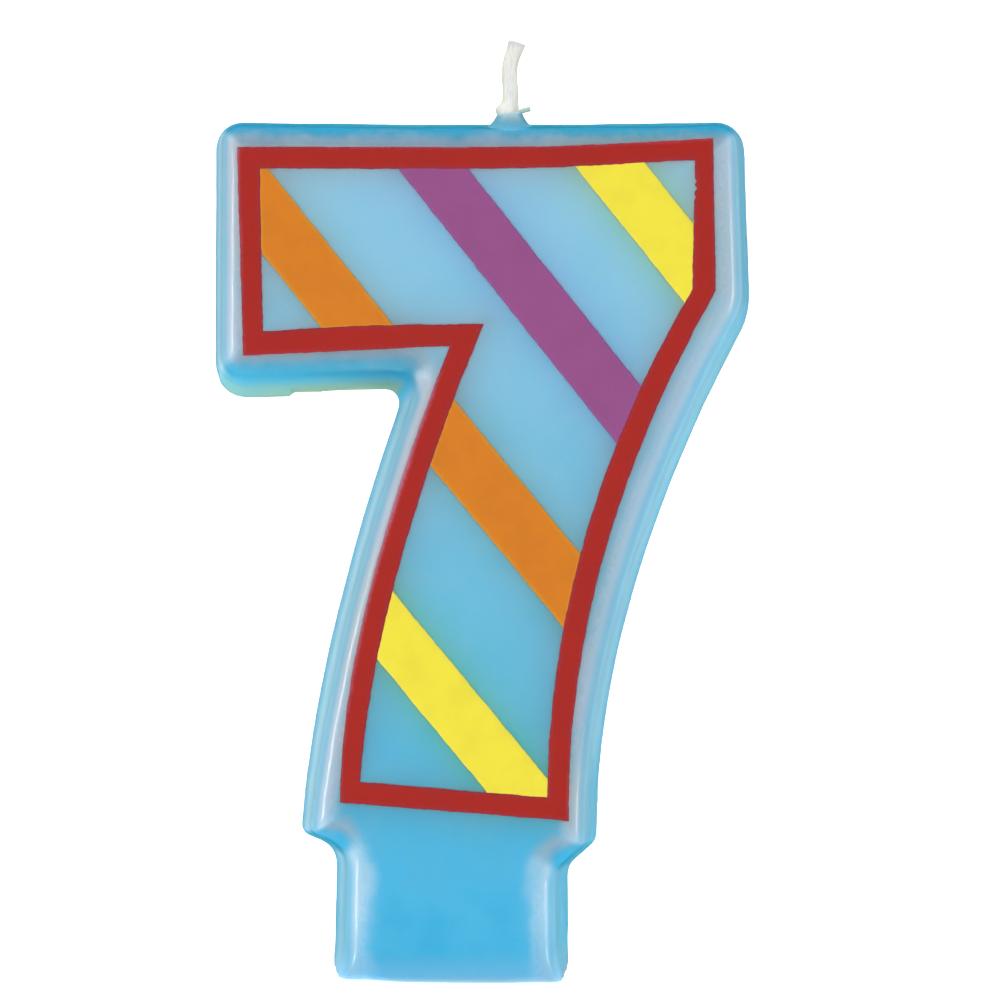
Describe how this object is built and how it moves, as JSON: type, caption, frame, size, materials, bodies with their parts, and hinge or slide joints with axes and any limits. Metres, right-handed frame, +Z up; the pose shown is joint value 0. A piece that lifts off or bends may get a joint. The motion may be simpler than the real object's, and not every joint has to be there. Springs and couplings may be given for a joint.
{
  "type": "numeral birthday candle",
  "caption": "Flat-backed wax numeral on a narrow push-in foot, with a waxed wick sealed into its top edge and an opaque printed border and slanting stripes on its front.",
  "frame": {"origin": "middle of the foot's flat base, half way through the candle's thickness", "axes": "+Z up the numeral towards the wick, +X towards the numeral's right as it is read, +Y towards the flat back, so the printed front faces -Y"},
  "size_m": [0.0483, 0.0102, 0.0827],
  "materials": {
    "blue_wax": "translucent paraffin wax, satin with glossy rounded edges",
    "seal_wax": "thin translucent wax",
    "waxed_cotton": "braided cotton soaked in wax, matte",
    "strand_cotton": "loose cotton yarn tinted by the wax, matte",
    "red_ink": "opaque screen-printed ink, satin",
    "orange_ink": "opaque screen-printed ink, satin",
    "purple_ink": "opaque screen-printed ink, satin",
    "yellow_ink": "opaque screen-printed ink, satin"
  },
  "bodies": {
    "root": {"wax_body": "blue_wax", "wick": "waxed_cotton", "wick_seal": "seal_wax", "loose_strand": "strand_cotton", "border_print": "red_ink", "orange_stripe_upper": "orange_ink", "orange_stripe_lower": "orange_ink", "purple_stripe": "purple_ink", "yellow_stripe_upper": "yellow_ink", "yellow_stripe_lower": "yellow_ink"}
  },
  "joints": []
}
